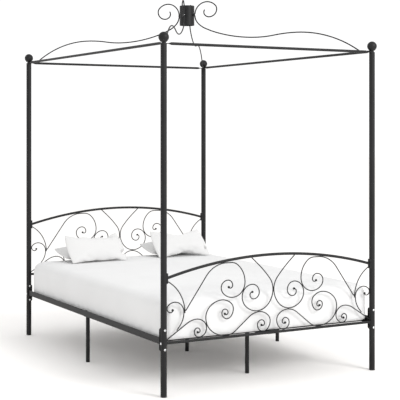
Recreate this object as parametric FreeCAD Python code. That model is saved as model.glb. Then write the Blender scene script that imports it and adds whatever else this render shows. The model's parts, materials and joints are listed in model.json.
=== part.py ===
import FreeCAD, Part
import math
import os

# Four poster canopy bed for a 140 x 200 cm mattress, in black powder-coated steel.
#
# Frame: origin on the floor at the middle of the bed, +X to the right seen from the foot end,
# +Y from foot to head, +Z up, millimetres.  Every piece is its own solid and every node is one
# STEP file in parts/.

Vector = FreeCAD.Vector

# ------------------------------------------------------------------ driving dimensions
bed_length = 2100.0            # between post centres, foot to head
bed_width = 1421.0             # between post centres, side to side

post_height = 1930.0           # floor to the top of the post's plug
post_diameter = 35.0
post_wall = 1.5
post_joint_height = 1000.0     # where the upper post sits on the lower one
sleeve_length = 200.0
sleeve_wall = 2.0
slip_fit = 0.15                # radial room for a plug or a sleeve inside a tube
foot_cap_lip = 6.0
foot_cap_depth = 22.0
plug_flange = 2.0
plug_depth = 22.0

finial_diameter = 59.0
finial_seat_drop = 26.0        # from the ball's centre down to its flat seat
finial_stud_diameter = 8.0
stud_room = 0.5                # a stud's hole is this much larger in diameter

canopy_rail_diameter = 16.0
canopy_rail_wall = 1.2
tab_thickness = 3.0
tab_radius = 12.0
tab_room = 1.0                 # from a crown rod's neck to where the tube starts to swell
tab_taper = 21.0               # length of the swelling

crown_rod_diameter = 8.0
eyelet_thickness = 4.0
eyelet_radius = 11.0
eyelet_neck = 5.0              # half the neck's width, between the disc and the round rod
eyelet_room = 1.0              # between a side rail's tab and where the rod swells
eyelet_taper = 10.0
crown_drum_diameter = 97.0
crown_drum_wall = 2.0
crown_drum_height = 129.0
crown_drum_drop = 1.5          # drum's middle below the rods' screws
crown_standoff_length = 12.0
crown_standoff_diameter = 12.0
crown_twist = 9.0              # degrees by which the drum's holes lead the bed's diagonals
crown_screw_diameter = 4.0
crown_screw_head = 9.0
crown_screw_grip = 10.0        # how far a screw reaches inside the drum

arch_tube_diameter = 16.0
arch_tube_wall = 1.2
lower_rail_diameter = 16.0
lower_rail_height = 293.0      # floor to the rail's axis
headboard_rise = 138.0         # the headboard's panel sits this much higher
insert_depth = 24.0            # threaded plug in each end of a lower rail
arch_plate_thickness = 4.5
arch_plate_width = 24.0
arch_plate_height = 56.0

scroll_rod_diameter = 6.0
scroll_eye_diameter = 14.0
weld_gap = 0.2                 # left between two rods that are welded side by side

side_rail_height = 37.0
side_rail_flange = 26.0
side_rail_thickness = 2.0
side_rail_base = 285.0         # floor to the rail's underside
side_rail_outset = 10.0        # rail's outer face beyond the post's axis
rail_plate_width = 36.0
rail_plate_margin = 13.0       # from a bolt's axis to the plate's nearer end
rail_plate_thickness = 3.0
rail_plate_chamfer = 10.0
joiner_length = 160.0
joiner_thickness = 2.5
joiner_lip = 4.0
joiner_lip_length = 26.0

leg_diameter = 25.0
leg_wall = 1.2
leg_cap_lip = 5.0
leg_cap_depth = 18.0
leg_plate_thickness = 2.0
leg_plate_length = 70.0
centre_leg_spacing = 758.6     # from the middle leg to the two others under the beam

beam_size = 25.0
beam_wall = 1.5
beam_plate_thickness = 3.0
beam_end_room = 105.0          # from an end rail's axis to the end of the square tube
tongue_width = 60.0
tongue_thickness = 5.0
tongue_lap = 15.0              # how far the tongue reaches into the tube
slat_count = 13
slat_width = 30.0
slat_thickness = 12.5
slat_wall = 1.2
slat_end_room = 4.0
slat_end_inset = 90.0          # from a post's axis to the nearest slat's middle, along the bed

bolt_diameter = 8.0
bolt_head_diameter = 13.5
bolt_head_height = 4.5
bolt_room = 0.5                # a bolt's hole is this much larger in diameter
nut_across = 13.0
nut_height = 6.5
side_bolt_diameter = 6.0
side_bolt_length = 55.0        # through the post and into the end rail's threaded plug
foot_bolt_heights = (260.0, 366.0)
head_bolt_heights = (253.0, 349.0)

mattress_side_room = 10.5      # from a post's axis plane to the mattress's side
mattress_end_room = 24.0       # the same at the foot and the head
mattress_thickness = 230.0
mattress_corner = 35.0
mattress_edge = 32.0
mattress_lift = 0.6            # gap between the slats and the mattress

pillow_width = 410.0
pillow_corner = 40.0
front_pillow_depth = 235.0
front_pillow_thickness = 70.0
front_pillow_tilt = 45.0       # degrees that the front pillow leans from flat
back_pillow_depth = 230.0
back_pillow_thickness = 75.0
back_pillow_tilt = 11.0
back_pillow_room = 53.0        # between the back pillow and the headboard's rods
pillow_spacing = 668.0         # from the left pair to the right pair
pillow_edge_room = 152.0       # from the mattress's right edge to the right pair
back_pillow_shift = 10.0       # the back pillow sticks out this far to the left
pillow_gap = 1.0

# ------------------------------------------------------------------ sizes that follow
post_radius = post_diameter / 2
half_width = bed_width / 2
half_length = bed_length / 2
inner_half = half_width - post_radius
stud_hole = finial_stud_diameter + stud_room
bolt_hole = bolt_diameter + bolt_room
side_bolt_hole = side_bolt_diameter + bolt_room
foot_tab_height = post_height
side_tab_height = foot_tab_height + tab_thickness
eyelet_height = side_tab_height + tab_thickness
# a rod's neck crosses a side rail's tab at this angle: the rod stays flat until it is clear of
# the tab, and the tab until the neck has left it
crossing = math.atan2(bed_width, bed_length)
eyelet_flat = (tab_radius + crown_rod_diameter / 2 + eyelet_room) / math.sin(crossing)
neck_exit = (tab_radius + eyelet_neck * math.cos(crossing)) / math.sin(crossing)
tab_flat = neck_exit * math.cos(crossing) + eyelet_neck * math.sin(crossing) + tab_room
finial_seat_height = eyelet_height + eyelet_thickness
slat_base = side_rail_base + side_rail_thickness
beam_base = slat_base - beam_size
mattress_half_width = half_width - mattress_side_room
mattress_half_length = half_length - mattress_end_room
mattress_base = slat_base + slat_thickness + mattress_lift
mattress_top = mattress_base + mattress_thickness
rod_spacing = scroll_rod_diameter + weld_gap
SIDES = (("left", -1), ("right", 1))
ENDS = (("foot", -1), ("head", 1))
PANELS = (("footboard", -1, 0.0), ("headboard", 1, headboard_rise))
CORNERS = [(end + "_" + side, sx, sy) for end, sy in ENDS for side, sx in SIDES]


# ------------------------------------------------------------------ helpers
def export(node, *solids):
    """Write one node from its solids."""
    shape = solids[0] if len(solids) == 1 else Part.makeCompound(list(solids))
    shape.exportStep(os.path.join("parts", node + ".step"))


def cylinder(radius, start, end):
    """A round bar from one point to another."""
    run = end - start
    return Part.makeCylinder(radius, run.Length, start, run)


def tube(outer_radius, wall, start, end):
    """A round tube from one point to another, open at both ends."""
    return cylinder(outer_radius, start, end).cut(cylinder(outer_radius - wall, start, end))


def block(low, high):
    """A box from its lowest to its highest corner."""
    size = high - low
    return Part.makeBox(size.x, size.y, size.z, low)


def mirrored_x(shape):
    return shape.mirror(Vector(0, 0, 0), Vector(1, 0, 0))


def fused(shape, *others):
    """One solid from several that share faces."""
    for other in others:
        shape = shape.fuse(other)
    return shape.removeSplitter().Solids[0]


def largest(shape):
    """The main piece of a cut shape, without its offcuts."""
    return max(shape.Solids, key=lambda solid: solid.Volume)


# ------------------------------------------------------------------ flat curves of runs and arcs
STRAIGHT = 0


def walk(start, heading, steps):
    """Follow steps from a point and heading in degrees.  A step is (radius, turn in degrees,
    left positive) or (STRAIGHT, length).  Returns the segments, the end and its heading."""
    segments = []
    here = start
    angle = math.radians(heading)
    for radius, amount in steps:
        if radius == STRAIGHT:
            end = (here[0] + amount * math.cos(angle), here[1] + amount * math.sin(angle))
            segments.append((here, end))
        else:
            reach = math.copysign(radius, amount)
            centre = (here[0] - reach * math.sin(angle), here[1] + reach * math.cos(angle))
            arc = [here]
            for share in (0.5, 1.0):
                at = angle + share * math.radians(amount)
                arc.append((centre[0] + reach * math.sin(at), centre[1] - reach * math.cos(at)))
            segments.append(tuple(arc))
            angle += math.radians(amount)
            end = arc[-1]
        here = end
    return segments, here, math.degrees(angle)


def scaled(steps, scale):
    """The same steps drawn larger or smaller."""
    return [(r, a * scale) if r == STRAIGHT else (r * scale, a) for r, a in steps]


def backwards(segments):
    return [tuple(reversed(segment)) for segment in reversed(segments)]


def shifted(segments, dx, dz):
    return [tuple((x + dx, z + dz) for x, z in segment) for segment in segments]


def wire_of(segments, place):
    """A wire through the segments; place turns a flat point into a point in space."""
    edges = []
    for segment in segments:
        points = [place(*point) for point in segment]
        curve = Part.LineSegment(*points) if len(points) == 2 else Part.Arc(*points)
        edges.append(curve.toShape())
    return Part.Wire(edges)


def swept(segments, place, radius):
    """A round bar along the segments."""
    wire = wire_of(segments, place)
    first = wire.Edges[0]
    start = place(*segments[0][0])
    circle = Part.Circle(start, first.tangentAt(first.FirstParameter), radius)
    return wire.makePipeShell([Part.Wire([circle.toShape()])], True, True)


def flat_wire(segments):
    return wire_of(segments, lambda x, z: Vector(x, 0, z))


def gap_between(segments, neighbours):
    """Least distance from one flat curve to others, centre line to centre line."""
    wire = flat_wire(segments)
    return min(wire.distToShape(flat_wire(other))[0] for other in neighbours)


def rest_against(segments, neighbours, direction, spacing, reach=90.0):
    """Slide a curve along direction until it is spacing away from its neighbours."""
    near, far = -reach, reach
    while far - near > 0.01:
        middle = (near + far) / 2
        moved = shifted(segments, direction[0] * middle, direction[1] * middle)
        if gap_between(moved, neighbours) < spacing:
            near = middle
        else:
            far = middle
    return shifted(segments, direction[0] * far, direction[1] * far)


def run_until(end, heading, neighbours, spacing, reach):
    """A straight run on from an end, stopped where it comes within spacing of a neighbour."""
    short, long = 0.5, reach
    while long - short > 0.01:
        middle = (short + long) / 2
        tail, _, _ = walk(end, heading, [(STRAIGHT, middle)])
        if gap_between(tail, neighbours) < spacing:
            long = middle
        else:
            short = middle
    return walk(end, heading, [(STRAIGHT, short)])[0]


# ------------------------------------------------------------------ posts
def post_axis(sx, sy, height=0.0):
    return Vector(sx * half_width, sy * half_length, height)


def post_bolt_heights(sy):
    return foot_bolt_heights if sy < 0 else head_bolt_heights


def make_posts():
    """Four posts, each a lower and an upper tube on a hidden sleeve, with plugs and feet."""
    bore_radius = post_radius - post_wall
    plug_radius = bore_radius - slip_fit
    sleeves = []
    plugs = []
    caps = []
    for corner, sx, sy in CORNERS:
        floor = post_axis(sx, sy)
        foot = post_axis(sx, sy, foot_cap_lip)
        joint = post_axis(sx, sy, post_joint_height)
        top = post_axis(sx, sy, post_height - plug_flange)
        lower = tube(post_radius, post_wall, foot, joint)
        for height in post_bolt_heights(sy):
            along = Vector(0, post_radius + 1, 0)
            at = post_axis(sx, sy, height)
            lower = lower.cut(cylinder(bolt_hole / 2, at - along, at + along))
        across = Vector(post_radius + 1, 0, 0)
        at = post_axis(sx, sy, lower_rail_height)
        lower = lower.cut(cylinder(side_bolt_hole / 2, at - across, at + across))
        export("lower_post_" + corner, lower)
        export("upper_post_" + corner, tube(post_radius, post_wall, joint, top))

        half_sleeve = Vector(0, 0, sleeve_length / 2)
        sleeves.append(tube(plug_radius, sleeve_wall, joint - half_sleeve, joint + half_sleeve))

        flange = cylinder(post_radius, top, post_axis(sx, sy, post_height))
        stem = cylinder(plug_radius, top - Vector(0, 0, plug_depth), top)
        thread = cylinder(finial_stud_diameter / 2, top - Vector(0, 0, plug_depth),
                          post_axis(sx, sy, post_height))
        plugs.append(fused(flange, stem).cut(thread))

        lip = cylinder(post_radius, floor, foot)
        lip = lip.makeFillet(foot_cap_lip / 3, [bottom_edge(lip)])
        caps.append(fused(lip, cylinder(plug_radius, foot, foot + Vector(0, 0, foot_cap_depth))))
    export("post_sleeves", *sleeves)
    export("post_top_plugs", *plugs)
    export("post_foot_caps", *caps)


def make_finials():
    """Balls whose studs clamp the rails' tabs and the crown rods' eyelets onto the posts."""
    ball_radius = finial_diameter / 2
    neck_height = 9.0
    neck_radius = 23.5
    stud_bottom = post_height - plug_depth / 2
    finials = []
    for _, sx, sy in CORNERS:
        seat = post_axis(sx, sy, finial_seat_height)
        centre = seat + Vector(0, 0, finial_seat_drop)
        ball = Part.makeSphere(ball_radius, centre)
        below = cylinder(finial_diameter, seat - Vector(0, 0, finial_diameter), seat)
        neck = Part.makeCone(post_radius, neck_radius, neck_height, seat)
        stud = cylinder(finial_stud_diameter / 2, post_axis(sx, sy, stud_bottom), seat)
        finials.append(fused(ball.cut(below), neck, stud))
    export("finials", *finials)


# ------------------------------------------------------------------ canopy
def oval(centre, side, up, half_width_, half_height):
    """A flat closed wire: an ellipse, or a circle where both halves are equal."""
    if half_width_ == half_height:
        curve = Part.Circle(centre, side.cross(up), half_height)
        curve.XAxis = side
    else:
        curve = Part.Ellipse(centre + side * half_width_, centre + up * half_height, centre)
    return Part.Wire([curve.toShape()])


def bar_along(start, along, length, width, thickness):
    """A flat bar centred on a line from start; its width is level."""
    bar = block(Vector(0, -width / 2, -thickness / 2), Vector(length, width / 2, thickness / 2))
    bar.rotate(Vector(0, 0, 0), Vector(0, 0, 1), math.degrees(math.atan2(along.y, along.x)))
    bar.translate(start)
    return bar


def flattened_end(eye, along, radius, flat, taper, disc_radius, half_neck, thickness):
    """A bar's pressed end: a disc round the eye, a flat neck and the swelling from it back to
    the round bar.  along is the level unit vector from the eye to the bar."""
    up = Vector(0, 0, 1)
    side = up.cross(along)
    disc = Part.makeCylinder(disc_radius, thickness, eye - up * (thickness / 2))
    neck = bar_along(eye, along, flat, 2 * half_neck, thickness)
    pressed = oval(eye + along * flat, side, up, half_neck, thickness / 2)
    full = oval(eye + along * (flat + taper), side, up, radius, radius)
    return disc, neck, Part.makeLoft([pressed, full], True)


def drilled(shape, eye, diameter):
    depth = Vector(0, 0, canopy_rail_diameter)
    return shape.cut(cylinder(diameter / 2, eye - depth, eye + depth))


def make_canopy_rails():
    """Four tubes between the posts' tops, flattened and drilled at both ends."""
    radius = canopy_rail_diameter / 2
    spans = [(name, post_axis(-1, sy), post_axis(1, sy), foot_tab_height) for name, sy in ENDS]
    spans += [(name, post_axis(sx, -1), post_axis(sx, 1), side_tab_height) for name, sx in SIDES]
    for name, start, end, height in spans:
        along = (end - start).normalize()
        eyes = [post + Vector(0, 0, height + tab_thickness / 2) for post in (start, end)]
        inset = along * (tab_flat + tab_taper)
        rail = cylinder(radius, eyes[0] + inset, eyes[1] - inset)
        for eye, direction in ((eyes[0], along), (eyes[1], along * -1)):
            rail = fused(rail, *flattened_end(eye, direction, radius, tab_flat, tab_taper,
                                              tab_radius, tab_radius, tab_thickness))
            rail = drilled(rail, eye, stud_hole)
        bore = cylinder(radius - canopy_rail_wall, eyes[0] + inset, eyes[1] - inset)
        export("canopy_rail_" + name, rail.cut(bore))


# A crown rod is drawn from its screw at the drum.  Inwards and up it curls into a scroll;
# outwards it falls in a long sweep that is stretched to reach the post.
crown_curl = [(80, -45), (89, -45), (87, -45), (35, -45), (46, -45), (57, -45), (44, -45),
              (27, -83)]
crown_fall = [(78, 45), (165, 21)]
crown_sweep = [(700, 8), (1000, 16), (740, 9), (990, -9), (700, -33.6)]
crown_landing = [(STRAIGHT, 17), (30, 33.6)]
crown_run = 66.0               # straight stretch from the landing to the post's axis


def crown_screw_reach():
    return crown_drum_diameter / 2 + crown_standoff_length + crown_rod_diameter / 2


def crown_rod_path():
    """The rod's flat curve, and how far its screw is above the landing."""
    diagonal = math.hypot(half_width, half_length)
    lead = math.radians(crown_twist)
    span = math.hypot(diagonal - crown_screw_reach() * math.cos(lead),
                      crown_screw_reach() * math.sin(lead))
    _, fall, heading = walk((0, 0), -90, crown_fall)
    _, sweep, heading = walk((0, 0), heading, crown_sweep)
    _, landing, _ = walk((0, 0), heading, crown_landing)
    stretch = (span - crown_run - fall[0] - landing[0]) / sweep[0]
    steps = crown_fall + scaled(crown_sweep, stretch) + crown_landing
    outwards, end, _ = walk((0, 0), -90, steps)
    curl, _, _ = walk((0, 0), 90, crown_curl)
    return backwards(curl) + outwards, -end[1]


def make_crown():
    """The drum over the middle of the bed and its four scrolled rods."""
    up = Vector(0, 0, 1)
    radius = crown_rod_diameter / 2
    path, rise = crown_rod_path()
    base = eyelet_height + eyelet_thickness / 2
    screw_height = base + rise
    drum_radius = crown_drum_diameter / 2
    drum_low = up * (screw_height - crown_drum_drop - crown_drum_height / 2)
    drum_top = drum_low + up * crown_drum_height
    core = cylinder(drum_radius, drum_low, drum_top)
    drum = core.cut(cylinder(drum_radius - crown_drum_wall, drum_low,
                             drum_top - up * crown_drum_wall))
    standoffs = []
    screws = []
    for name, sx, sy in CORNERS:
        azimuth = math.atan2(sy * half_length, sx * half_width) - math.radians(crown_twist)
        outward = Vector(math.cos(azimuth), math.sin(azimuth), 0)
        axis = up * screw_height
        screw_at = outward * crown_screw_reach() + axis
        eye = post_axis(sx, sy, base)
        start = Vector(screw_at.x, screw_at.y, 0)
        along = (Vector(eye.x, eye.y, 0) - start).normalize()

        def place(x, z):
            return start + along * x + up * (z + screw_height)

        flat_end = eye - along * (eyelet_flat + eyelet_taper)
        rod = fused(swept(path, place, radius),
                    cylinder(radius, place(*path[-1][-1]), flat_end),
                    *flattened_end(eye, along * -1, radius, eyelet_flat, eyelet_taper,
                                   eyelet_radius, eyelet_neck, eyelet_thickness))
        rod_face = screw_at + outward * radius
        drill = cylinder((crown_screw_diameter + stud_room) / 2, axis,
                         rod_face + outward * crown_screw_head)
        export("crown_rod_" + name, drilled(rod, eye, stud_hole).cut(drill))

        standoff = cylinder(crown_standoff_diameter / 2, axis, screw_at)
        for neighbour in (core, swept(path, place, radius), drill):
            standoff = standoff.cut(neighbour)
        standoffs.append(largest(standoff))
        shank = cylinder(crown_screw_diameter / 2,
                         axis + outward * (drum_radius - crown_screw_grip), rod_face)
        screws.append(fused(shank, dome(crown_screw_head / 2, crown_screw_head / 3, rod_face,
                                        outward)))
        drum = drum.cut(drill)
    export("crown_drum", drum)
    export("crown_standoffs", *standoffs)
    export("crown_screws", *screws)


def dome(radius, height, base, direction):
    """A domed screw head that stands on base."""
    ball_radius = (radius ** 2 + height ** 2) / (2 * height)
    ball = Part.makeSphere(ball_radius, base - direction * (ball_radius - height))
    return ball.common(cylinder(radius, base, base + direction * height))


# ------------------------------------------------------------------ footboard and headboard
# The panel is drawn for its right half with x from the bed's middle and z from the lower
# rail's axis, at the width below, and is scaled to the room between the posts.
pattern_half = 693.0
arch_end_height = 354.0        # arch tube's axis at the posts
arch_rise = 95.0               # arch tube's axis at the middle, above its ends

centre_height = 249.0          # where the two centre scrolls meet
centre_up = [(105, -38), (700, -10)]
centre_down = [(125, 45), (100, 45), (109, 45), (77, 45), (67, 90), (47, 90), (37, 90),
               (25, 90), (15.5, 90)]
arch_scroll_top = (310.0, 412.0)
arch_scroll_out = [(159, -54.5)]
arch_scroll_in = [(STRAIGHT, 32), (70, 40), (129, 50), (82, 90), (85, 45), (48, 45), (38, 45),
                  (46, 45), (31, 90), (15, 90), (12, 60)]
s_top_shift = -14.0            # from the centre scroll's lowest point to the s scroll's top
s_loop = [(85, 45), (44, 45), (63, 45), (40, 45)]
s_eye = [(38, 90), (27, 90), (20, 90), (13, 90), (8, 60)]
s_link_in = [(108, -38.3)]
s_link_out = [(80, 38.3), (STRAIGHT, 20)]
s_out = [(130, 45), (99, 45), (81, 45), (116, 45), (85, 45), (42, 45), (63, 45), (30, 45),
         (35, 90), (20, 90), (20, 90), (12.5, 90), (8, 70)]
corner_top = (500.0, 116.0)
corner_out = [(113, -32.3)]
corner_in = [(67, 45), (48, 45), (47, 90), (31, 90), (20, 90), (17, 90), (9, 130)]
post_side = (585.0, 162.0)
post_down = [(121, 39.5)]
post_up = [(58, -90), (57, -45), (22, -45), (23, -90), (12, -90)]
brace_start = (679.0, 332.0)
brace_heading = 211
brace = [(205, 59)]
brace_tail = 14.0              # straight piece up to the arch's end plate


def both_ways(start, heading, back, on):
    """A curve drawn both ways from a point in its middle, and the headings of its two ends."""
    behind, _, tail_heading = walk(start, heading + 180, back)
    ahead, _, _ = walk(start, heading, on)
    return backwards(behind) + ahead, tail_heading


def arch_axis(scale):
    """The arch tube's axis as one arc from post to post."""
    half = pattern_half * scale
    low = arch_end_height * scale
    return [((-half, low), (0.0, low + arch_rise * scale), (half, low))]


def centre_curve(scale, arch):
    """The teardrop beside the panel's middle, hung from the arch."""
    meet = (rod_spacing / 2, centre_height * scale)
    curve, heading = both_ways(meet, -90, scaled(centre_up, scale), scaled(centre_down, scale))
    tail = run_until(curve[0][0], heading, [arch], arch_tube_diameter / 4, 400 * scale)
    return backwards(tail) + curve


def arch_scroll_curve(scale, arch, centre):
    """The scroll under the arch, against the arch and the centre scroll."""
    under_arch = arch_tube_diameter / 2 + scroll_rod_diameter / 2 + weld_gap
    top = (arch_scroll_top[0] * scale, arch_scroll_top[1] * scale)
    curve, heading = both_ways(top, 180, scaled(arch_scroll_out, scale),
                               scaled(arch_scroll_in, scale))
    for _ in range(3):
        curve = rest_against(curve, [arch], (0, -1), under_arch)
        curve = rest_against(curve, [centre], (1, 0), rod_spacing)
    return curve, heading


def s_scroll_curve(scale, centre):
    """The double scroll that lies under the centre scroll and on the lower rail."""
    lowest = min((point for segment in centre for point in segment), key=lambda point: point[1])
    top = (lowest[0] + s_top_shift * scale, lowest[1] - rod_spacing)
    bottom = (lower_rail_diameter + scroll_rod_diameter) / 2 + weld_gap
    _, loop_drop, _ = walk((0, 0), 180, s_loop)
    loop_scale = (top[1] - bottom) / -loop_drop[1]
    inwards, _, _ = walk(top, 180, scaled(s_loop + s_eye, loop_scale))
    link, link_end, heading = walk(top, 0, scaled(s_link_in, scale))
    _, dip, _ = walk((0, 0), heading, scaled(s_link_out, scale))
    drop = link_end[1] + dip[1] - bottom
    length = drop / math.sin(math.radians(-heading))
    onwards, _, _ = walk(link_end, heading, [(STRAIGHT, length)] + scaled(s_link_out, scale)
                         + scaled(s_out, scale))
    return backwards(inwards) + link + onwards


def corner_curve(scale, s_scroll):
    """The scroll from the lower corner, against the s scroll."""
    top = (corner_top[0] * scale, corner_top[1] * scale)
    curve, heading = both_ways(top, 180, scaled(corner_out, scale), scaled(corner_in, scale))
    curve = rest_against(curve, [s_scroll], (1, 0), rod_spacing)
    start = curve[0][0]
    length = (inner_half + weld_gap - start[0]) / math.cos(math.radians(heading))
    return backwards(walk(start, heading, [(STRAIGHT, length)])[0]) + curve


def post_curve(scale, corner):
    """The scroll that touches the post, with its tail on the corner scroll."""
    side = (post_side[0] * scale, post_side[1] * scale)
    curve, heading = both_ways(side, 90, scaled(post_down, scale), scaled(post_up, scale))
    reach = max(x for segment in curve for x, _ in segment)
    curve = shifted(curve, inner_half - scroll_rod_diameter / 2 - weld_gap - reach, 0)
    tail = run_until(curve[0][0], heading, [corner], rod_spacing, 300 * scale)
    return backwards(tail) + curve


def brace_curve(scale, post_scroll):
    """The plain curved rod from the arch's end plate down to the post scroll."""
    start = (brace_start[0] * scale, brace_start[1] * scale)
    curve, _, _ = walk(start, brace_heading, scaled(brace, scale))
    curve = rest_against(curve, [post_scroll], (-1, 0), rod_spacing)
    return walk(curve[0][0], brace_heading + 180, [(STRAIGHT, brace_tail)])[0], curve


def panel_curves():
    """The right half's scroll curves, each set against its neighbours."""
    scale = inner_half / pattern_half
    arch = arch_axis(scale)
    centre = centre_curve(scale, arch)
    arch_scroll, heading = arch_scroll_curve(scale, arch, centre)
    s_scroll = s_scroll_curve(scale, centre)
    corner = corner_curve(scale, s_scroll)
    post_scroll = post_curve(scale, corner)
    brace_top, brace_arc = brace_curve(scale, post_scroll)
    tail = run_until(arch_scroll[0][0], heading, [post_scroll, brace_arc], rod_spacing, 400 * scale)
    return arch, {
        "centre_scrolls": [centre],
        "arch_scrolls": [backwards(tail) + arch_scroll],
        "s_scrolls": [s_scroll],
        "corner_scrolls": [corner],
        "post_scrolls": [post_scroll],
        "brace_rods": [backwards(brace_top) + brace_arc],
    }


# Which of a rod's two ends carry an eye: both of an s scroll's, and neither of a brace's.
first_eye = {"s_scrolls": 0, "brace_rods": 2}


def make_panel(name, sy, rise, arch, curves):
    """One end panel: arch tube, lower rail, end plates and scrolls."""
    y = sy * half_length
    floor = lower_rail_height + rise

    def place(x, z):
        return Vector(x, y, z + floor)

    posts = [cylinder(post_radius, post_axis(sx, sy), post_axis(sx, sy, post_height))
             for _, sx in SIDES]
    export(name + "_lower_rail", end_rail(y, floor, posts))

    plate_face = inner_half - arch_plate_thickness
    between = block(Vector(-plate_face, y - post_radius, 0),
                    Vector(plate_face, y + post_radius, post_height))
    arch_bar = swept(arch, place, arch_tube_diameter / 2).common(between)
    arch_bore = swept(arch, place, arch_tube_diameter / 2 - arch_tube_wall)
    export(name + "_arch_rail", arch_bar.cut(arch_bore))

    end_height = floor + arch[0][0][1]
    plates = []
    for post, (_, sx) in zip(posts, SIDES):
        plate = block(Vector(plate_face, y - arch_plate_width / 2,
                             end_height - arch_plate_height / 2),
                      Vector(half_width, y + arch_plate_width / 2,
                             end_height + arch_plate_height / 2))
        plates.append(largest((plate if sx > 0 else mirrored_x(plate)).cut(post)))
    export(name + "_end_plates", *plates)

    rail_core = cylinder(lower_rail_diameter / 2, Vector(0, y, floor), Vector(half_width, y, floor))
    for node, group in curves.items():
        rods = []
        for curve in group:
            rod = swept(curve, place, scroll_rod_diameter / 2)
            ends = [curve[0][0], curve[-1][-1]]
            for eye in ends[first_eye.get(node, 1):]:
                rod = fused(rod, Part.makeSphere(scroll_eye_diameter / 2, place(*eye)))
            for neighbour in (arch_bar, rail_core, posts[1], mirrored_x(plates[0])):
                rod = rod.cut(neighbour)
            rods += [largest(rod), mirrored_x(largest(rod))]
        export(name + "_" + node, *rods)


def end_rail(y, height, posts):
    """A level tube between two posts, with a threaded plug in each end."""
    radius = lower_rail_diameter / 2
    reach = Vector(inner_half + radius, 0, 0)
    middle = Vector(0, y, height)
    bore = Vector(inner_half - insert_depth, 0, 0)
    rail = cylinder(radius, middle - reach, middle + reach)
    rail = rail.cut(cylinder(radius - arch_tube_wall, middle - bore, middle + bore))
    rail = rail.cut(cylinder(side_bolt_hole / 2, middle - reach, middle + reach))
    for post in posts:
        rail = rail.cut(post)
    return rail


# ------------------------------------------------------------------ side rails and slats
def make_side_rails():
    """Angle rails in two halves a side, with end plates and a joiner over the middle leg."""
    plates = []
    joiners = []
    outer = half_width + side_rail_outset
    plate_y = half_length - post_radius
    top = side_rail_base + side_rail_height
    for side, sx in SIDES:
        for end, sy in ENDS:
            length = plate_y - rail_plate_thickness
            web = block(Vector(outer - side_rail_thickness, 0, side_rail_base),
                        Vector(outer, length, top))
            shelf = block(Vector(outer - side_rail_flange, 0, side_rail_base),
                          Vector(outer, length, side_rail_base + side_rail_thickness))
            low_bolt, high_bolt = post_bolt_heights(sy)
            plate = block(Vector(half_width - rail_plate_width / 2, length,
                                 low_bolt - rail_plate_margin),
                          Vector(half_width + rail_plate_width / 2, plate_y,
                                 high_bolt + rail_plate_margin))
            corners = [edge for edge in plate.Edges
                       if abs(edge.Length - rail_plate_thickness) < 0.01]
            plate = plate.makeChamfer(rail_plate_chamfer, corners)
            for height in post_bolt_heights(sy):
                hole = Vector(half_width, length, height)
                room = Vector(0, rail_plate_thickness, 0)
                plate = plate.cut(cylinder(bolt_hole / 2, hole - room, hole + room * 2))
            export("side_rail_" + side + "_" + end, set_in_quarter(fused(web, shelf), sx, sy))
            plates.append(set_in_quarter(plate, sx, sy))
        joiner = block(Vector(outer - side_rail_thickness - joiner_thickness, -joiner_length / 2,
                              slat_base),
                       Vector(outer - side_rail_thickness, joiner_length / 2, top))
        lip = block(Vector(outer - side_rail_thickness - joiner_thickness, -joiner_lip_length / 2,
                           top),
                    Vector(outer, joiner_lip_length / 2, top + joiner_lip))
        joiners.append(set_in_quarter(fused(joiner, lip), sx, 1))
    export("side_rail_end_plates", *plates)
    export("side_rail_joiners", *joiners)


def set_in_quarter(shape, sx, sy):
    """A shape drawn in the +X +Y quarter, mirrored into another."""
    if sx < 0:
        shape = mirrored_x(shape)
    if sy < 0:
        shape = shape.mirror(Vector(0, 0, 0), Vector(0, 1, 0))
    return shape


def make_centre_beam():
    """The square beam under the slats, in two halves with flat tongues to the end rails."""
    rail_face = half_length - lower_rail_diameter / 2 - weld_gap
    halves = []
    for _, sy in ENDS:
        run = half_length - beam_end_room
        outer = block(Vector(-beam_size / 2, 0, beam_base), Vector(beam_size / 2, run, slat_base))
        inner = block(Vector(-beam_size / 2 + beam_wall, 0, beam_base + beam_wall),
                      Vector(beam_size / 2 - beam_wall, run, slat_base - beam_wall))
        tongue = block(Vector(-beam_size / 2, run - tongue_lap, slat_base - tongue_thickness),
                       Vector(beam_size / 2, run, slat_base))
        reach = block(Vector(-tongue_width / 2, run, slat_base - tongue_thickness),
                      Vector(tongue_width / 2, rail_face, slat_base))
        plate = block(Vector(-tongue_width / 2, rail_face - beam_plate_thickness,
                             slat_base - tongue_thickness),
                      Vector(tongue_width / 2, rail_face, slat_base + slat_thickness))
        halves.append(set_in_quarter(fused(outer.cut(inner), tongue, reach, plate), 1, sy))
    export("centre_beam", *halves)


def make_legs():
    """Five plain legs: one under each side rail's joint and three under the centre beam."""
    caps = []
    side_x = half_width + side_rail_outset - side_rail_flange / 2
    spots = {
        "side_legs": [(-side_x, 0.0, side_rail_base), (side_x, 0.0, side_rail_base)],
        "centre_legs": [(0.0, y, beam_base) for y in (-centre_leg_spacing, 0.0, centre_leg_spacing)],
    }
    for node, places in spots.items():
        legs = []
        for x, y, top in places:
            floor = Vector(x, y, 0)
            foot = Vector(x, y, leg_cap_lip)
            under = Vector(x, y, top - leg_plate_thickness)
            half = Vector(side_rail_flange / 2, leg_plate_length / 2, 0)
            plate = block(under - half, under + half + Vector(0, 0, leg_plate_thickness))
            legs.append(fused(tube(leg_diameter / 2, leg_wall, foot, under), plate))
            bore = leg_diameter / 2 - leg_wall - slip_fit
            lip = cylinder(leg_diameter / 2, floor, foot)
            lip = lip.makeFillet(leg_cap_lip / 3, [bottom_edge(lip)])
            caps.append(fused(lip, cylinder(bore, foot, foot + Vector(0, 0, leg_cap_depth))))
        export(node, *legs)
    export("leg_caps", *caps)


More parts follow.
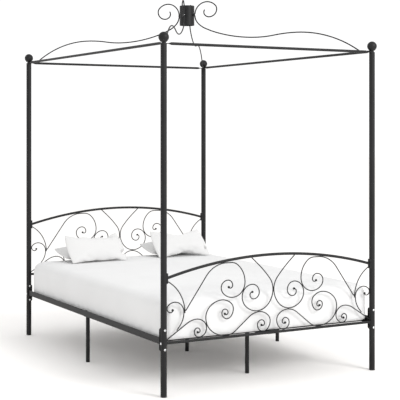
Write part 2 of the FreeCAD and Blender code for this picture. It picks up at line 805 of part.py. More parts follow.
def bottom_edge(shape):
    """The round edge of a cylinder's lower end."""
    rings = [edge for edge in shape.Edges if isinstance(edge.Curve, Part.Circle)]
    return min(rings, key=lambda edge: edge.BoundBox.ZMax)


def make_slats():
    """Flat steel tubes across the bed, lying on the side rails' shelves."""
    reach = half_width + side_rail_outset - side_rail_thickness - slat_end_room
    first = half_length - slat_end_inset
    pitch = 2 * first / (slat_count - 1)
    slats = []
    for index in range(slat_count):
        middle = index * pitch - first
        low = Vector(-reach, middle - slat_width / 2, slat_base)
        high = Vector(reach, middle + slat_width / 2, slat_base + slat_thickness)
        wall = Vector(0, slat_wall, slat_wall)
        slats.append(block(low, high).cut(block(low + wall, high - wall)))
    export("slats", *slats)


# ------------------------------------------------------------------ fasteners
def hexagon_nut(base, direction):
    """A nut that stands on base, with its hole."""
    radius = nut_across / math.sqrt(3)
    corners = []
    side = direction.cross(Vector(0, 0, 1)).normalize()
    up = direction.cross(side)
    for index in range(7):
        angle = math.radians(60 * index)
        corners.append(base + side * (radius * math.cos(angle)) + up * (radius * math.sin(angle)))
    prism = Part.Face(Part.makePolygon(corners)).extrude(direction * nut_height)
    return prism.cut(cylinder(bolt_hole / 2, base - direction, base + direction * (nut_height + 1)))


def make_fasteners():
    """Bolts through the posts into the side rails' plates, and side bolts into the end rails."""
    bolts = []
    nuts = []
    plate_face = half_length - post_radius - rail_plate_thickness
    for _, sx, sy in CORNERS:
        outer_face = half_length + post_radius
        for height in post_bolt_heights(sy):
            outside = Vector(sx * half_width, sy * outer_face, height)
            inside = Vector(sx * half_width, sy * plate_face, height)
            head_face, nut_face = (outside, inside) if sy < 0 else (inside, outside)
            inwards = (nut_face - head_face).normalize()
            shank = cylinder(bolt_diameter / 2, head_face, nut_face + inwards * nut_height)
            bolts.append(fused(shank, dome(bolt_head_diameter / 2, bolt_head_height, head_face,
                                           inwards * -1)))
            nuts.append(hexagon_nut(nut_face, inwards))
        face = Vector(sx * (half_width + post_radius), sy * half_length, lower_rail_height)
        out = Vector(sx, 0, 0)
        shank = cylinder(side_bolt_diameter / 2, face - out * side_bolt_length, face)
        bolts.append(fused(shank, dome(bolt_head_diameter / 2, bolt_head_height, face, out)))
    export("frame_bolts", *bolts)
    export("frame_nuts", *nuts)


# ------------------------------------------------------------------ bedding
def cushion(width, depth, thickness, corner):
    """A flat pad centred on the origin with round corners and half-round edges."""
    low = Vector(-width / 2, -depth / 2, -thickness / 2)
    pad = block(low, low * -1)
    upright = [edge for edge in pad.Edges if abs(edge.Length - thickness) < 0.01
               and edge.Vertexes[0].Point.z != edge.Vertexes[1].Point.z]
    pad = pad.makeFillet(corner, upright)
    rims = [edge for edge in pad.Edges if abs(abs(edge.CenterOfMass.z) - thickness / 2) < 0.01]
    return pad.makeFillet(thickness / 2 - 0.5, rims)


def make_mattress():
    pad = block(Vector(-mattress_half_width, -mattress_half_length, mattress_base),
                Vector(mattress_half_width, mattress_half_length, mattress_top))
    upright = [edge for edge in pad.Edges if edge.BoundBox.ZLength > 1]
    pad = pad.makeFillet(mattress_corner, upright)
    rims = [edge for edge in pad.Edges if edge.BoundBox.ZLength < 0.01]
    export("mattress", pad.makeFillet(mattress_edge, rims))


def make_pillows():
    """Two pairs: a back pillow that lies before the headboard, and one that leans on it."""
    rest = mattress_top + pillow_gap
    radius = front_pillow_thickness / 2
    back_radius = back_pillow_thickness / 2
    tilt = math.radians(front_pillow_tilt)
    back_tilt = math.radians(back_pillow_tilt)
    # distance along Y between the two lower edges' centres, clear of each other
    room = radius + back_radius + pillow_gap
    edge_drop = (radius - back_radius) * math.cos(tilt)
    behind = (room - edge_drop) / math.sin(tilt)
    back_reach = (back_pillow_depth - back_pillow_thickness) * math.cos(back_tilt)
    back_edge = half_length - scroll_rod_diameter / 2 - back_pillow_room - back_radius
    back_front = back_edge - back_reach
    front_edge = back_front - behind
    right_middle = mattress_half_width - pillow_edge_room - pillow_width / 2
    for side, x in (("left", right_middle - pillow_spacing), ("right", right_middle)):
        for name, shift, depth, thickness, angle, y in (
                ("front", 0.0, front_pillow_depth, front_pillow_thickness, tilt, front_edge),
                ("back", back_pillow_shift, back_pillow_depth, back_pillow_thickness, back_tilt,
                 back_front)):
            reach = (depth - thickness) / 2
            pad = cushion(pillow_width, depth, thickness, pillow_corner)
            pad.rotate(Vector(0, 0, 0), Vector(1, 0, 0), math.degrees(angle))
            pad.translate(Vector(x - shift, y + reach * math.cos(angle),
                                 rest + thickness / 2 + reach * math.sin(angle)))
            export("pillow_" + side + "_" + name, pad)


os.makedirs("parts", exist_ok=True)
make_posts()
make_finials()
make_canopy_rails()
make_crown()
arch_curve, scroll_curves = panel_curves()
for panel, end_sign, panel_rise in PANELS:
    make_panel(panel, end_sign, panel_rise, arch_curve, scroll_curves)
head_posts = [cylinder(post_radius, post_axis(sign, 1), post_axis(sign, 1, post_height))
              for _, sign in SIDES]
export("headboard_cross_rail", end_rail(half_length, lower_rail_height, head_posts))
make_side_rails()
make_centre_beam()
make_legs()
make_slats()
make_fasteners()
make_mattress()
make_pillows()
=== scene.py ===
import json
import math

import bmesh
import bpy
from mathutils import Matrix, Vector, noise
from mathutils.bvhtree import BVHTree
from mathutils.kdtree import KDTree


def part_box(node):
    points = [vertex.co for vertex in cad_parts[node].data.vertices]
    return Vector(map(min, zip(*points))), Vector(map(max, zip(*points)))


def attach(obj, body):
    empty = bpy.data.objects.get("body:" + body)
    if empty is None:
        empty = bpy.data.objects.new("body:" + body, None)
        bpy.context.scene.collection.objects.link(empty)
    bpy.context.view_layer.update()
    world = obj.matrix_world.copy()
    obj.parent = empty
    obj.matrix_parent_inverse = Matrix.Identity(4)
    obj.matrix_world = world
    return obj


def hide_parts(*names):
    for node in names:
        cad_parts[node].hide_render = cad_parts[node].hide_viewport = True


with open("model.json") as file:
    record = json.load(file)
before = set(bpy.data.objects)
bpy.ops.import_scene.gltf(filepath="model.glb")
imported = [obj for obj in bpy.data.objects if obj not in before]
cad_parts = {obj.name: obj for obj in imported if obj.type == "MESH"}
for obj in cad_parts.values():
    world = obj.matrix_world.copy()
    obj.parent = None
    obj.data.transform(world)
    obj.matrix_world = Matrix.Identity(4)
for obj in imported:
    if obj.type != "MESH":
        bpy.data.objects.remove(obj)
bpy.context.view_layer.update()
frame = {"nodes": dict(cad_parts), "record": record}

# Four poster canopy bed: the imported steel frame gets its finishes, and the mattress, the pillows,
# the weld beads and the bolts' sockets are modelled here.  Metres, +Z up, +Y from foot to head.

MM = 0.001


# ------------------------------------------------------------------ material helpers
def new_material(name):
    """An empty node material with its principled shader and its node tree."""
    material = bpy.data.materials.new(name)
    material.use_nodes = True
    return material, material.node_tree, material.node_tree.nodes["Principled BSDF"]


def node(tree, kind, **inputs):
    """A shader node with its input sockets set by name (underscores stand for spaces)."""
    made = tree.nodes.new(kind)
    for name, value in inputs.items():
        made.inputs[name.replace("_", " ")].default_value = value
    return made


def object_place(tree, scale=(1.0, 1.0, 1.0)):
    """Object coordinates in metres, stretched by scale."""
    place = tree.nodes.new("ShaderNodeTexCoord")
    mapping = node(tree, "ShaderNodeMapping", Scale=scale)
    tree.links.new(place.outputs["Object"], mapping.inputs["Vector"])
    return mapping.outputs["Vector"]


def noise_of(tree, place, scale, detail=3.0, roughness=0.5):
    texture = node(tree, "ShaderNodeTexNoise", Scale=scale, Detail=detail, Roughness=roughness)
    tree.links.new(place, texture.inputs["Vector"])
    return texture.outputs["Fac"]


def ramp_of(tree, value, low, high, dark, light):
    """A colour ramp from dark at low to light at high."""
    ramp = tree.nodes.new("ShaderNodeValToRGB")
    ramp.color_ramp.elements[0].position = low
    ramp.color_ramp.elements[1].position = high
    ramp.color_ramp.elements[0].color = (*dark, 1.0)
    ramp.color_ramp.elements[1].color = (*light, 1.0)
    tree.links.new(value, ramp.inputs["Fac"])
    return ramp.outputs["Color"]


def range_of(tree, value, low, high):
    """The value from 0..1 moved to low..high."""
    moved = node(tree, "ShaderNodeMapRange", To_Min=low, To_Max=high)
    tree.links.new(value, moved.inputs["Value"])
    return moved.outputs["Result"]


def maths(tree, operation, first, second):
    made = tree.nodes.new("ShaderNodeMath")
    made.operation = operation
    for socket, value in zip(made.inputs, (first, second)):
        if isinstance(value, (int, float)):
            socket.default_value = value
        else:
            tree.links.new(value, socket)
    return made.outputs["Value"]


def bump_of(tree, shader, layers):
    """Bumps laid over each other: (height, strength, distance in metres)."""
    normal = None
    for height, strength, distance in layers:
        bump = node(tree, "ShaderNodeBump", Strength=strength, Distance=distance)
        tree.links.new(height, bump.inputs["Height"])
        if normal is not None:
            tree.links.new(normal, bump.inputs["Normal"])
        normal = bump.outputs["Normal"]
    tree.links.new(normal, shader.inputs["Normal"])


# ------------------------------------------------------------------ materials
def powder_coat(name, dark, light, roughness, specular):
    """Satin black powder coat: fine orange peel, faint patches of colour and gloss."""
    material, tree, shader = new_material(name)
    place = object_place(tree)
    patches = noise_of(tree, place, 9.0)
    grain = noise_of(tree, place, 900.0, 2.0)
    peel = noise_of(tree, place, 320.0, 2.0)
    tree.links.new(ramp_of(tree, patches, 0.35, 0.65, dark, light), shader.inputs["Base Color"])
    tree.links.new(range_of(tree, grain, *roughness), shader.inputs["Roughness"])
    shader.inputs["Specular IOR Level"].default_value = specular
    bump_of(tree, shader, [(peel, 0.25, 0.08 * MM), (grain, 0.3, 0.03 * MM)])
    return material


def zinc_steel():
    """Bright zinc-plated steel with faint cloudy patches and rub marks."""
    material, tree, shader = new_material("zinc_steel")
    place = object_place(tree)
    clouds = noise_of(tree, place, 260.0, 4.0)
    rubs = noise_of(tree, object_place(tree, (1.0, 1.0, 12.0)), 700.0, 2.0)
    colour = ramp_of(tree, clouds, 0.3, 0.7, (0.74, 0.75, 0.77), (0.92, 0.92, 0.92))
    tree.links.new(colour, shader.inputs["Base Color"])
    tree.links.new(range_of(tree, rubs, 0.18, 0.42), shader.inputs["Roughness"])
    shader.inputs["Metallic"].default_value = 1.0
    bump_of(tree, shader, [(rubs, 0.2, 0.02 * MM)])
    return material


def moulded_plastic():
    """Matt black moulded plastic with a fine spark-eroded grain."""
    material, tree, shader = new_material("moulded_plastic")
    place = object_place(tree)
    grain = noise_of(tree, place, 1500.0, 3.0)
    patches = noise_of(tree, place, 40.0)
    colour = ramp_of(tree, patches, 0.3, 0.7, (0.012, 0.012, 0.012), (0.018, 0.018, 0.018))
    tree.links.new(colour, shader.inputs["Base Color"])
    tree.links.new(range_of(tree, grain, 0.5, 0.72), shader.inputs["Roughness"])
    shader.inputs["Specular IOR Level"].default_value = 0.3
    bump_of(tree, shader, [(grain, 0.4, 0.05 * MM)])
    return material


def woven_cotton(name, dark, light, pitch, creases):
    """White cotton: a plain weave of crossing threads, slubs and faint creases."""
    material, tree, shader = new_material(name)
    place = object_place(tree)
    threads = []
    for axis in ("X", "Y", "Z"):
        wave = node(tree, "ShaderNodeTexWave", Scale=1.0 / pitch / math.tau, Distortion=0.6,
                    Detail=1.0, Detail_Scale=2.0)
        wave.bands_direction = axis
        tree.links.new(place, wave.inputs["Vector"])
        threads.append(wave.outputs["Fac"])
    weave = maths(tree, "MULTIPLY", maths(tree, "MAXIMUM", threads[0], threads[1]), threads[2])
    weave = maths(tree, "ADD", weave, maths(tree, "MULTIPLY", threads[0], threads[1]))
    slubs = noise_of(tree, object_place(tree, (1.0, 0.25, 1.0)), 420.0, 3.0)
    folds = noise_of(tree, place, 11.0, 3.0, 0.6)
    patches = noise_of(tree, place, 3.0, 2.0)
    tree.links.new(ramp_of(tree, patches, 0.35, 0.65, dark, light), shader.inputs["Base Color"])
    tree.links.new(range_of(tree, slubs, 0.82, 0.96), shader.inputs["Roughness"])
    shader.inputs["Specular IOR Level"].default_value = 0.25
    shader.inputs["Sheen Weight"].default_value = 0.15
    shader.inputs["Sheen Roughness"].default_value = 0.5
    bump_of(tree, shader, [(folds, 0.35, creases), (slubs, 0.2, 0.12 * MM),
                           (weave, 0.25, 0.15 * MM)])
    return material


def socket_painted_shade():
    """Painted shade for a bolt's socket: a dark colour that stands in for the shade at the bottom of its
    recess.
    """
    material, tree, shader = new_material("socket_painted_shade")
    shade_mottle = noise_of(tree, object_place(tree), 500.0)
    # painted shade: a near-black colour with a random mottle stands in for the shade inside the recess
    colour = ramp_of(tree, shade_mottle, 0.3, 0.7, (0.03, 0.03, 0.03), (0.10, 0.10, 0.10))
    tree.links.new(colour, shader.inputs["Base Color"])
    tree.links.new(range_of(tree, shade_mottle, 0.45, 0.7), shader.inputs["Roughness"])
    shader.inputs["Metallic"].default_value = 0.6
    return material


COAT = powder_coat("powder_coat", (0.0085, 0.0085, 0.009), (0.0125, 0.0125, 0.013), (0.42, 0.56), 0.24)
WELD = powder_coat("coated_weld", (0.009, 0.009, 0.0095), (0.014, 0.014, 0.0145), (0.34, 0.50), 0.34)
STEEL = zinc_steel()
PLASTIC = moulded_plastic()
SOCKET = socket_painted_shade()
SHEET = woven_cotton("mattress_cotton", (0.68, 0.68, 0.68), (0.70, 0.70, 0.70), 1.1 * MM, 3 * MM)
PILLOW = woven_cotton("pillow_cotton", (0.65, 0.648, 0.645), (0.675, 0.672, 0.668), 0.9 * MM, 2 * MM)
STITCH = woven_cotton("stitched_seam", (0.60, 0.595, 0.59), (0.63, 0.625, 0.62), 0.5 * MM, 0.5 * MM)
SLOT_MATERIALS = {"black_coat": COAT, "bright_steel": STEEL, "black_plastic": PLASTIC}


def finish_frame():
    """Gives every CAD node that stays its finish."""
    for entry in frame["record"]["subparts"]:
        material = SLOT_MATERIALS.get(entry["material_slot"])
        if material is not None:
            shape = frame["nodes"][entry["node"]]
            shape.data.materials.clear()
            shape.data.materials.append(material)


# ------------------------------------------------------------------ mesh helpers
def add_mesh(name, points, faces, material, body):
    """A new smooth mesh piece that rides on a body."""
    mesh = bpy.data.meshes.new(name)
    mesh.from_pydata([tuple(point) for point in points], [], faces)
    mesh.update()
    mesh.polygons.foreach_set("use_smooth", [True] * len(mesh.polygons))
    mesh.materials.append(material)
    piece = bpy.data.objects.new(name, mesh)
    bpy.context.scene.collection.objects.link(piece)
    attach(piece, body)
    return piece


def apply_modifiers(piece):
    """Replaces the piece's mesh by what its modifiers make of it."""
    mesh = bpy.data.meshes.new_from_object(piece.evaluated_get(bpy.context.evaluated_depsgraph_get()))
    piece.modifiers.clear()
    piece.data = mesh
    mesh.polygons.foreach_set("use_smooth", [True] * len(mesh.polygons))


def subdivided(piece, levels):
    modifier = piece.modifiers.new("smooth", "SUBSURF")
    modifier.levels = levels
    modifier.render_levels = levels
    apply_modifiers(piece)


def smoothed(piece, rounds):
    """Evens out the piece's puckers."""
    modifier = piece.modifiers.new("even", "SMOOTH")
    modifier.factor = 0.5
    modifier.iterations = rounds
    apply_modifiers(piece)


def tree_of(piece):
    return BVHTree.FromPolygons([vertex.co for vertex in piece.data.vertices],
                                [tuple(face.vertices) for face in piece.data.polygons])


def smoothstep(low, high, value):
    share = min(max((value - low) / (high - low), 0.0), 1.0)
    return share * share * (3.0 - 2.0 * share)


def blow_up(piece, pressure, cap, steps, pinned=None):
    """Swells a closed cloth piece, and lets no point move further than cap."""
    scene = bpy.context.scene
    start = [vertex.co.copy() for vertex in piece.data.vertices]
    cloth = piece.modifiers.new("cloth", "CLOTH")
    settings = cloth.settings
    settings.quality = 6
    settings.mass = 0.25
    settings.tension_stiffness = 25.0
    settings.compression_stiffness = 25.0
    settings.shear_stiffness = 12.0
    settings.bending_stiffness = 0.6
    settings.use_pressure = True
    settings.uniform_pressure_force = pressure
    settings.effector_weights.gravity = 0.0
    if pinned is not None:
        settings.vertex_group_mass = pinned
    cloth.point_cache.frame_start = 1
    cloth.point_cache.frame_end = steps
    for step in range(1, steps + 1):
        scene.frame_set(step)
    apply_modifiers(piece)
    for vertex, before in zip(piece.data.vertices, start):
        move = vertex.co - before
        if move.length > cap:
            vertex.co = before + move * (cap / move.length)
    scene.frame_set(1)


def keep_off(piece, support, gap):
    """Moves the piece's points that lie inside or too near a support out to its surface."""
    tree = tree_of(support)
    for vertex in piece.data.vertices:
        place, normal, _, distance = tree.find_nearest(vertex.co, 0.2)
        if place is None:
            continue
        if (vertex.co - place).dot(normal) < gap:
            vertex.co = place + normal * gap


# ------------------------------------------------------------------ mattress
MATTRESS_GRID = 0.022
TOP_ROUND = 0.058              # radius of the long edges at the top
BASE_ROUND = 0.012             # and where the cover tucks under
UPRIGHT_ROUND = 0.048          # radius of the upright edges
MATTRESS_CROWN = 0.007
SIDE_BULGE = 0.006
CORNER_FOLD = 0.0025           # depth of the folds the cover makes at a corner
HEM_GATHER = 0.0022
PLEAT_DEPTH = 0.009            # the pleat beside each corner, on the foot and head faces
PLEAT_PLACE = 0.030
PLEAT_WIDTH = 0.008


def rounded_box_point(point, half):
    """Moves a point of a box's surface onto the box with rounded edges."""
    x, y, z = point
    edge = TOP_ROUND if z > 0.0 else BASE_ROUND
    core = Vector((half.x - UPRIGHT_ROUND, half.y - UPRIGHT_ROUND))
    out = Vector((max(abs(x) - core.x, 0.0), max(abs(y) - core.y, 0.0)))
    if out.x > 0.0 and out.y > 0.0:
        out *= max(out.x, out.y) / out.length
        x = math.copysign(core.x + out.x, x)
        y = math.copysign(core.y + out.y, y)
    # how deep the point lies inside the plan's rim, measured towards the middle
    out_x, out_y = max(abs(x) - core.x, 0.0), max(abs(y) - core.y, 0.0)
    if out_x > 0.0 and out_y > 0.0:
        depth = UPRIGHT_ROUND - math.hypot(out_x, out_y)
        away = Vector((math.copysign(out_x, x), math.copysign(out_y, y))).normalized()
    elif half.x - abs(x) < half.y - abs(y):
        depth, away = half.x - abs(x), Vector((math.copysign(1.0, x), 0.0))
    else:
        depth, away = half.y - abs(y), Vector((0.0, math.copysign(1.0, y)))
    side, rise = edge - depth, abs(z) - (half.z - edge)
    if side > 0.0 and rise > 0.0:
        pull = max(side, rise) / math.hypot(side, rise)
        x -= away.x * side * (1.0 - pull)
        y -= away.y * side * (1.0 - pull)
        z = math.copysign(half.z - edge + rise * pull, z)
    return Vector((x, y, z))


def make_mattress():
    low, high = (Vector(corner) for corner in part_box("mattress"))
    centre, half = (low + high) / 2, (high - low) / 2
    shell = bmesh.new()
    bmesh.ops.create_cube(shell, size=2.0)
    for vertex in shell.verts:
        vertex.co = Vector((vertex.co.x * half.x, vertex.co.y * half.y, vertex.co.z * half.z))
    for axis in range(3):
        cuts = int(2 * half[axis] / MATTRESS_GRID)
        edges = [edge for edge in shell.edges
                 if abs(edge.verts[0].co[axis] - edge.verts[1].co[axis]) > half[axis]]
        bmesh.ops.subdivide_edges(shell, edges=edges, cuts=cuts, use_grid_fill=True)
    for vertex in shell.verts:
        vertex.co = rounded_box_point(vertex.co, half) + centre
    mesh = bpy.data.meshes.new("mattress_cover")
    shell.to_mesh(mesh)
    shell.free()
    mesh.materials.append(SHEET)
    piece = bpy.data.objects.new("mattress_cover", mesh)
    bpy.context.scene.collection.objects.link(piece)
    tucked = piece.vertex_groups.new(name="tucked_under")
    held = [vertex.index for vertex in mesh.vertices if vertex.co.z < low.z + BASE_ROUND]
    tucked.add(held, 1.0, "REPLACE")
    blow_up(piece, 3.0, 0.008, 10, "tucked_under")
    fit_to(piece, low, high)
    subdivided(piece, 1)
    crown_and_crease(piece, low, high)
    subdivided(piece, 1)
    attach(piece, "mattress")
    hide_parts("mattress")
    return piece


def fit_to(piece, low, high):
    """Scales the piece along each axis so that it fills the box."""
    for axis in range(3):
        values = [vertex.co[axis] for vertex in piece.data.vertices]
        least, scale = min(values), (high[axis] - low[axis]) / (max(values) - min(values))
        for vertex in piece.data.vertices:
            vertex.co[axis] = low[axis] + (vertex.co[axis] - least) * scale


def crown_and_crease(piece, low, high):
    """Crowns the top, bulges the sides, and folds the cover at its corners and hem."""
    centre, half = (low + high) / 2, (high - low) / 2
    piece.data.update()
    for vertex in piece.data.vertices:
        x, y, z = vertex.co - centre
        normal = vertex.normal.copy()
        top = smoothstep(0.0, half.z, z)
        plan = max((1.0 - (x / half.x) ** 2) * (1.0 - (y / half.y) ** 2), 0.0)
        upright = 1.0 - abs(normal.z)
        bulge = SIDE_BULGE * upright * (1.0 - (z / half.z) ** 2)
        corner = math.hypot(half.x - abs(x), half.y - abs(y))
        swirl = math.atan2(half.y - abs(y) + 0.02, half.x - abs(x) + 0.02)
        wander = noise.noise(Vector((x * 3.0, y * 3.0, z * 6.0)))
        fold = CORNER_FOLD * math.sin(swirl * 15.0 + 2.5 * wander) * math.exp(-corner / 0.085)
        gather = HEM_GATHER * math.sin((x + y) * 70.0 + 7.0 * wander)
        hem = smoothstep(-half.z * 0.2, -half.z, z)
        slack = 0.0022 * noise.noise(Vector((x * 2.0 + 4.1, y * 1.2 + 0.7, z * 2.6)))
        off_pleat = (half.x - abs(x) - PLEAT_PLACE) / PLEAT_WIDTH
        pleat = PLEAT_DEPTH * math.exp(-off_pleat ** 2) * abs(normal.y) * (1.0 - top ** 4)
        ripple = fold * upright + gather * hem * upright + slack
        vertex.co += normal * (bulge + ripple - pleat)
        vertex.co.z += MATTRESS_CROWN * plan ** 0.6 * top
    piece.data.update()


# ------------------------------------------------------------------ pillows
PILLOW_GRID = 0.0095
PILLOW_FLAT_EXTRA = 0.14       # a flat pillow is this much larger than the same one filled
SIDE_BOW = 0.055               # how far the cut cloth's sides bow outwards
PILLOW_FILL = 0.010            # half the flat pad's thickness at its middle before it swells


def flat_pillow(name, width, depth):
    """Two layers of cloth that share their rim, slightly apart in the middle."""
    columns = int(width / PILLOW_GRID)
    rows = int(depth / PILLOW_GRID)
    points, faces, index = [], [], {}
    for layer in (1, -1):
        for row in range(rows + 1):
            for column in range(columns + 1):
                rim = row in (0, rows) or column in (0, columns)
                if rim and layer == -1:
                    index[layer, row, column] = index[1, row, column]
                    continue
                u, v = 2 * column / columns - 1, 2 * row / rows - 1
                rise = PILLOW_FILL * (1 - u ** 4) * (1 - v ** 4) * layer
                index[layer, row, column] = len(points)
                bow = (1 + SIDE_BOW * (1 - v * v), 1 + SIDE_BOW * (1 - u * u) * width / depth)
                points.append((u * width / 2 * bow[0], v * depth / 2 * bow[1], rise))
        for row in range(rows):
            for column in range(columns):
                loop = [index[layer, row, column], index[layer, row, column + 1],
                        index[layer, row + 1, column + 1], index[layer, row + 1, column]]
                faces.append(loop if layer == 1 else loop[::-1])
    rim = [index[1, 0, column] for column in range(columns)]
    rim += [index[1, row, columns] for row in range(rows)]
    rim += [index[1, rows, column] for column in range(columns, 0, -1)]
    rim += [index[1, row, 0] for row in range(rows, 0, -1)]
    mesh = bpy.data.meshes.new(name)
    mesh.from_pydata(points, [], faces)
    mesh.materials.append(PILLOW)
    piece = bpy.data.objects.new(name, mesh)
    bpy.context.scene.collection.objects.link(piece)
    return piece, rim


def fill_pillow(piece, width, depth, thickness, seed):
    """Swells the flat pillow, then brings it to its filled size."""
    for vertex in piece.data.vertices:
        vertex.co.z += 0.0015 * noise.noise(vertex.co * 22.0 + Vector((seed, 0.0, 0.0)))
    blow_up(piece, 5.0, 0.075, 20)
    smoothed(piece, 12)
    for axis, size in enumerate((width, depth, thickness)):
        values = [vertex.co[axis] for vertex in piece.data.vertices]
        middle = (max(values) + min(values)) / 2
        scale = size / (max(values) - min(values))
        for vertex in piece.data.vertices:
            vertex.co[axis] = (vertex.co[axis] - middle) * scale


def seam_tube(name, points, radius, body):
    """A closed round welt through the points."""
    count = len(points)
    sides = 6
    ring_points, faces = [], []
    for number in range(count):
        ahead = (points[(number + 1) % count] - points[number - 1]).normalized()
        side = ahead.cross(Vector((0.0, 0.3, 1.0))).normalized()
        up = side.cross(ahead)
        for step in range(sides):
            turn = math.tau * step / sides
            offset = side * math.cos(turn) + up * math.sin(turn)
            ring_points.append(points[number] + offset * radius)
    for number in range(count):
        for step in range(sides):
            following = (number + 1) % count
            faces.append((number * sides + step, number * sides + (step + 1) % sides,
                          following * sides + (step + 1) % sides, following * sides + step))
    return add_mesh(name, ring_points, faces, STITCH, body)


def settle(piece, support):
    """Lifts the piece so that it sinks only a little into the support, then flattens it there."""
    tree = tree_of(support)
    sunk = 0.0
    for vertex in piece.data.vertices:
        place, normal, _, _ = tree.find_nearest(vertex.co, 0.2)
        if place is not None:
            sunk = min(sunk, (vertex.co - place).dot(normal))
    lift = max(-sunk - PILLOW_SINK, 0.0)
    for vertex in piece.data.vertices:
        vertex.co.z += lift
    keep_off(piece, support, 0.001)


FRONT_TILT, BACK_TILT = 45.0, 11.0
PILLOW_SINK = 0.004
PILLOWS = (("pillow_left_back", BACK_TILT, 0.085, 1.0), ("pillow_left_front", FRONT_TILT, 0.092, 2.0),
           ("pillow_right_back", BACK_TILT, 0.085, 3.0), ("pillow_right_front", FRONT_TILT, 0.092, 4.0))
PILLOW_WIDTH, PILLOW_DEPTH = 0.425, 0.245
SEAM_RADIUS = 0.0013


def make_pillows(mattress):
    supports = {}
    for number, (source, tilt, thickness, seed) in enumerate(PILLOWS):
        low, high = (Vector(corner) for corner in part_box(source))
        grow = 1 + PILLOW_FLAT_EXTRA
        piece, rim = flat_pillow(source + "_case", PILLOW_WIDTH * grow, PILLOW_DEPTH * grow)
        fill_pillow(piece, PILLOW_WIDTH, PILLOW_DEPTH, thickness, seed)
        turn = Matrix.Rotation(math.radians(tilt), 4, "X")
        place = Matrix.Translation((low + high) / 2) @ turn
        piece.data.transform(place)
        settle(piece, mattress)
        if "front" in source:
            keep_off(piece, supports[source.replace("front", "back")], 0.0015)
        seam = [piece.data.vertices[index].co.copy() for index in rim]
        piece.data.update()
        subdivided(piece, 1)
        body = source.replace("pillow_", "") + "_pillow"
        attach(piece, body)
        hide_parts(source)
        seam_tube(source + "_seam", seam, SEAM_RADIUS, body)
        supports[source] = piece


# ------------------------------------------------------------------ welds and sockets
WELD_REACH = 0.0009            # two rods nearer than this are welded there
WELD_SPACING = 0.020
WELD_RADIUS = 0.0021
WELD_LENGTH = 0.009
WELD_PARTS = ("arch_rail", "lower_rail", "end_plates", "centre_scrolls", "arch_scrolls", "s_scrolls",
              "corner_scrolls", "post_scrolls", "brace_rods")


def near_points(first, second):
    """Points of the first node that all but touch the second."""
    tree = tree_of(second)
    found = []
    for vertex in first.data.vertices:
        place, _, _, distance = tree.find_nearest(vertex.co, WELD_REACH)
        if place is not None:
            found.append((vertex.co + place) / 2)
    return found


def gathered(points):
    """Groups of points that lie near each other, as (middle, direction)."""
    groups = []
    for point in points:
        for group in groups:
            if (point - group[0]).length < WELD_SPACING:
                group.append(point)
                break
        else:
            groups.append([point])
    spots = []
    for group in groups:
        middle = sum(group, Vector()) / len(group)
        far = max(group, key=lambda point: (point - middle).length)
        direction = far - middle
        direction.y = 0.0
        if direction.length < 0.0005:
            direction = Vector((0.0, 0.0, 1.0))
        spots.append((middle, direction.normalized()))
    return spots


def bead(middle, direction, length, radius, seed):
    """Points and faces of one lumpy weld bead."""
    rings, sides = 9, 8
    side = direction.cross(Vector((0.0, 1.0, 0.0))).normalized()
    points, faces = [], []
    for ring in range(rings):
        share = 2.0 * ring / (rings - 1) - 1.0
        ripple = 1.0 + 0.12 * math.sin(share * 14.0 + seed)
        girth = radius * math.sqrt(max(1.0 - share * share * 0.96, 0.0)) * ripple
        for step in range(sides):
            turn = math.tau * step / sides
            offset = side * math.cos(turn) * girth + Vector((0.0, math.sin(turn) * girth, 0.0))
            points.append(middle + direction * (share * length / 2) + offset)
    for ring in range(rings - 1):
        for step in range(sides):
            faces.append((ring * sides + step, ring * sides + (step + 1) % sides,
                          (ring + 1) * sides + (step + 1) % sides, (ring + 1) * sides + step))
    faces.append(tuple(range(sides))[::-1])
    faces.append(tuple((rings - 1) * sides + step for step in range(sides)))
    return points, faces


def make_welds():
    """Weld beads on both faces wherever the rods of a panel touch."""
    for panel in ("footboard", "headboard"):
        nodes = [frame["nodes"][panel + "_" + part] for part in WELD_PARTS]
        spots = []
        for number, first in enumerate(nodes):
            for second in nodes[number + 1:]:
                spots += gathered(near_points(first, second))
        spots += gathered([point for point in middle_contact(frame["nodes"][panel + "_centre_scrolls"])])
        points, faces = [], []
        low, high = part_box(panel + "_brace_rods")
        plane = (low[1] + high[1]) / 2
        for number, (middle, direction) in enumerate(spots):
            for face in (-1, 1):
                spot = Vector((middle.x, plane + face * WELD_RADIUS * 0.95, middle.z))
                more, loops = bead(spot, direction, WELD_LENGTH, WELD_RADIUS, number + face)
                faces += [tuple(index + len(points) for index in loop) for loop in loops]
                points += more
        add_mesh(panel + "_welds", points, faces, WELD, "frame")


def middle_contact(scrolls):
    """Where the two centre scrolls meet."""
    return [vertex.co.copy() for vertex in scrolls.data.vertices if abs(vertex.co.x) < 0.0004]


def islands(shape):
    """The separate solids of a node, each as a list of points."""
    mesh = bmesh.new()
    mesh.from_mesh(shape.data)
    bmesh.ops.remove_doubles(mesh, verts=mesh.verts, dist=1e-6)
    seen, groups = set(), []
    for start in mesh.verts:
        if start in seen:
            continue
        stack, group = [start], []
        seen.add(start)
        while stack:
            vertex = stack.pop()
            group.append(vertex.co.copy())
            for edge in vertex.link_edges:
                other = edge.other_vert(vertex)
                if other not in seen:
                    seen.add(other)
                    stack.append(other)
        groups.append(group)
    mesh.free()
    return groups


HOOK_WIDTH = 0.060
HOOK_INNER = 0.0081            # the rail's radius and a hair
HOOK_OUTER = 0.0108


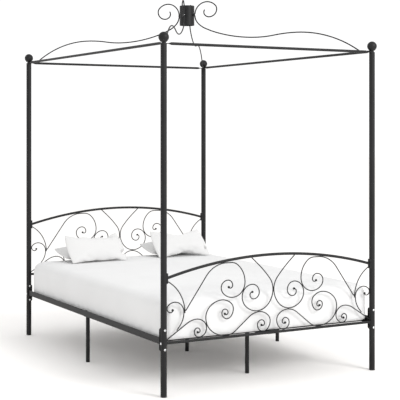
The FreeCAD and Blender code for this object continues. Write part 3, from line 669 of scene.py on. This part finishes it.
def make_beam_hooks():
    """The straps at the centre beam's ends that lie over the end rails."""
    points, faces = [], []
    steps = 14
    for rail in ("footboard_lower_rail", "headboard_cross_rail"):
        low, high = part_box(rail)
        y, z = (low[1] + high[1]) / 2, (low[2] + high[2]) / 2
        inwards = -math.copysign(1.0, y)
        base = len(points)
        for step in range(steps + 1):
            turn = math.pi * 0.85 * step / steps
            for radius in (HOOK_INNER, HOOK_OUTER):
                for side in (-1, 1):
                    points.append((side * HOOK_WIDTH / 2, y + inwards * radius * math.cos(turn),
                                   z + radius * math.sin(turn)))
        for step in range(steps):
            near, far = base + 4 * step, base + 4 * step + 4
            for one, two in ((0, 1), (1, 3), (3, 2), (2, 0)):
                faces.append((near + one, near + two, far + two, far + one))
        last = base + 4 * steps
        faces += [(base, base + 2, base + 3, base + 1), (last, last + 1, last + 3, last + 2)]
    hooks = add_mesh("beam_hooks", points, faces, COAT, "frame")
    hooks.data.polygons.foreach_set("use_smooth", [False] * len(hooks.data.polygons))


SOCKET_RADIUS = 0.0026
SOCKET_PROUD = 0.00008


def make_sockets():
    """A dark hexagon of painted shade, a hair proud of each bolt's domed head, standing in for the
    socket's recess.
    """
    points, faces = [], []
    for group in islands(frame["nodes"]["frame_bolts"]):
        low = Vector([min(point[axis] for point in group) for axis in range(3)])
        high = Vector([max(point[axis] for point in group) for axis in range(3)])
        size = high - low
        axis = max(range(3), key=lambda number: size[number])
        middle = (low + high) / 2
        across = [number for number in range(3) if number != axis]
        spread = {}
        for end in (low[axis], high[axis]):
            near = [point for point in group if abs(point[axis] - end) < 0.005]
            spread[end] = max(abs(point[across[0]] - middle[across[0]]) for point in near)
        tip = max(spread, key=spread.get)
        outward = 1.0 if tip == high[axis] else -1.0
        centre = middle.copy()
        centre[axis] = tip + outward * SOCKET_PROUD
        start = len(points)
        for step in range(6):
            turn = math.tau * step / 6
            corner = centre.copy()
            corner[across[0]] += SOCKET_RADIUS * math.cos(turn)
            corner[across[1]] += SOCKET_RADIUS * math.sin(turn)
            points.append(corner)
        for step in range(6):
            corner = points[start + step].copy()
            corner[axis] -= outward * 0.001
            points.append(corner)
        faces.append(tuple(range(start, start + 6)))
        faces.append(tuple(range(start + 11, start + 5, -1)))
        for step in range(6):
            following = (step + 1) % 6
            faces.append((start + step, start + 6 + step, start + 6 + following, start + following))
    # the dark hexagons are painted shade for the recesses, not a real dark finish
    piece = add_mesh("bolt_sockets", points, faces, SOCKET, "frame")
    piece.data.polygons.foreach_set("use_smooth", [False] * len(piece.data.polygons))


# ------------------------------------------------------------------ studio
def make_floor():
    material, tree, shader = new_material("studio_floor")
    shader.inputs["Base Color"].default_value = (0.96, 0.945, 0.93, 1.0)
    shader.inputs["Roughness"].default_value = 0.9
    shader.inputs["Specular IOR Level"].default_value = 0.0
    half = 40.0
    mesh = bpy.data.meshes.new("floor")
    mesh.from_pydata([(-half, -half, 0), (half, -half, 0), (half, half, 0), (-half, half, 0)], [],
                     [(0, 1, 2, 3)])
    mesh.materials.append(material)
    floor = bpy.data.objects.new("floor", mesh)
    bpy.context.scene.collection.objects.link(floor)


def add_area(name, place, target, size, power):
    light = bpy.data.lights.new(name, "AREA")
    light.shape = "RECTANGLE"
    light.size, light.size_y = size
    light.energy = power
    lamp = bpy.data.objects.new(name, light)
    lamp.location = place
    lamp.rotation_euler = (Vector(target) - Vector(place)).to_track_quat("-Z", "Y").to_euler()
    bpy.context.scene.collection.objects.link(lamp)


def make_studio():
    make_floor()
    world = bpy.data.worlds.new("studio")
    bpy.context.scene.world = world
    world.use_nodes = True
    background = world.node_tree.nodes["Background"]
    background.inputs["Color"].default_value = (1.0, 1.0, 1.0, 1.0)
    background.inputs["Strength"].default_value = 1.08
    add_area("foot_key", (2.5, -8.0, 5.0), (0.0, 0.0, 0.5), (3.0, 3.0), 420.0)
    bpy.context.scene.view_settings.view_transform = "Standard"


def make_camera():
    data = bpy.data.cameras.new("camera")
    data.sensor_width = 36.0
    data.lens = 100.19
    data.shift_y = -0.1785
    data.clip_end = 200.0
    camera = bpy.data.objects.new("camera", data)
    camera.location = (-3.4812, -6.4594, 1.4658)
    camera.rotation_euler = (math.radians(90.0), 0.0, -0.505978)
    bpy.context.scene.collection.objects.link(camera)
    bpy.context.scene.camera = camera


finish_frame()
make_pillows(make_mattress())
make_welds()
make_beam_hooks()
make_sockets()
make_studio()
make_camera()
